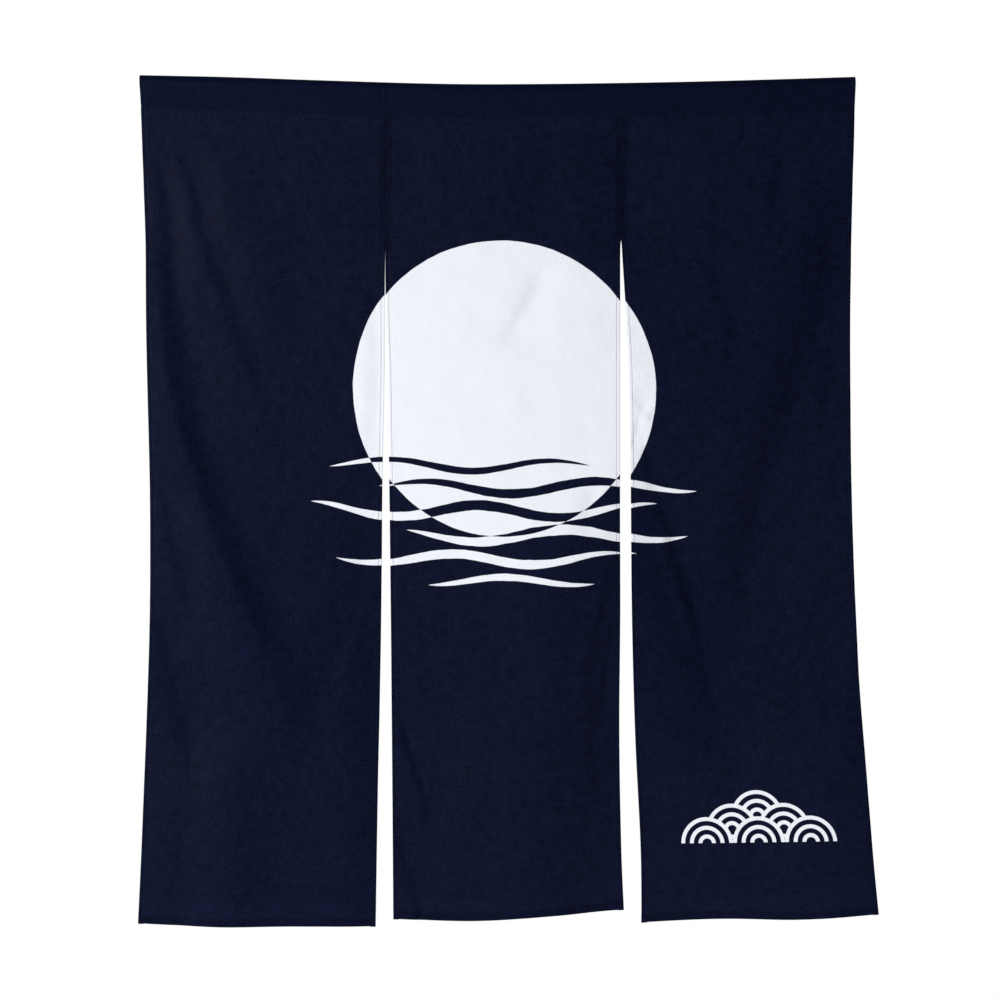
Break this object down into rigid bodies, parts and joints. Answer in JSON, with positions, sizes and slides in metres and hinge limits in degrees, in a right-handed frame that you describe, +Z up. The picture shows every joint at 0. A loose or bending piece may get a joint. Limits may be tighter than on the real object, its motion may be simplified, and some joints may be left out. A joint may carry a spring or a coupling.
{
  "type": "noren curtain",
  "caption": "Split door curtain of dark dyed cotton panels, sewn side by side at the top under a rod tunnel and hanging free below in soft folds.",
  "frame": {"origin": "middle of the top edge, at its lowest point between the two upper corners", "axes": "+Z up along the hang of the cloth, -Y out of the front face, +X to the viewer's right"},
  "size_m": [0.8781, 0.0427, 1.0125],
  "materials": {
    "panel_cloth": "matt plain-weave cotton, dyed navy, with white resist print",
    "heading_cloth": "matt plain-weave cotton, dyed navy, two layers sewn together"
  },
  "bodies": {
    "root": {"heading_left": "heading_cloth", "heading_centre": "heading_cloth", "heading_right": "heading_cloth", "panel_left": "panel_cloth", "panel_centre": "panel_cloth", "panel_right": "panel_cloth"}
  },
  "joints": []
}
